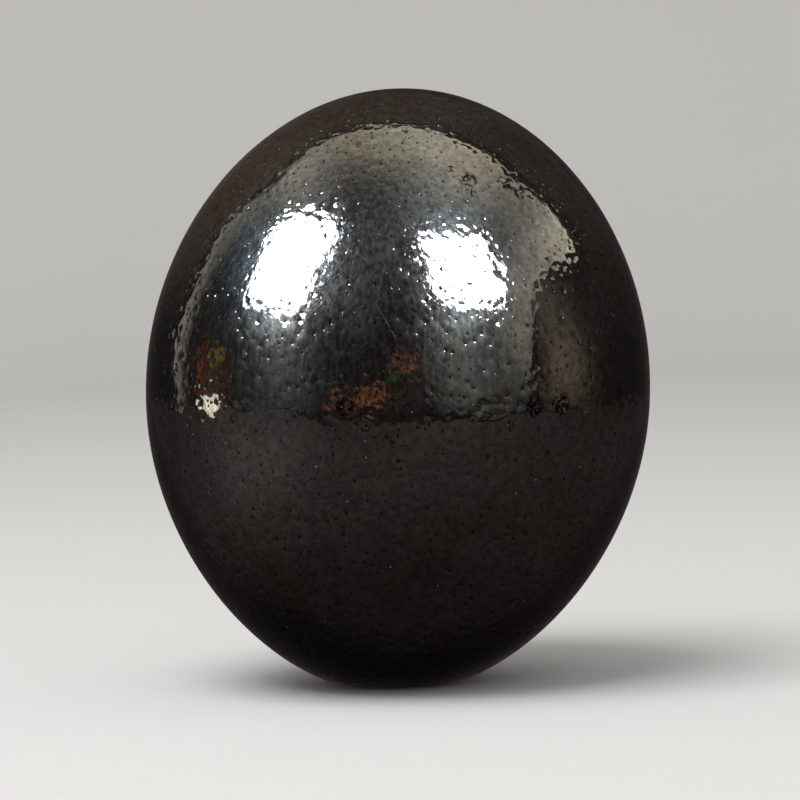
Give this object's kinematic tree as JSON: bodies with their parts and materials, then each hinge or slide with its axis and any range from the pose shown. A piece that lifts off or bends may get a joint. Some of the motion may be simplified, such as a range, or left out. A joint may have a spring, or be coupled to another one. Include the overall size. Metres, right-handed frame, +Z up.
{
  "type": "silvered ostrich egg",
  "caption": "Large egg with a silvered, finely pitted shell that stands upright on a small flat spot ground on its foot.",
  "frame": {"origin": "middle of the underside of the bounding box, in the plane of the flat spot that the egg stands on", "axes": "+Z up, along the egg's length but for a lean of about 4 degrees; +X to the right and +Y away for someone who faces the egg; the crown leans to +X"},
  "size_m": [0.127, 0.127, 0.1496],
  "materials": {
    "silvering": "polished silver over a pitted shell, with dark tarnish in the pits and faint brown and blue patches"
  },
  "bodies": {
    "root": {"egg": "silvering"}
  },
  "joints": []
}
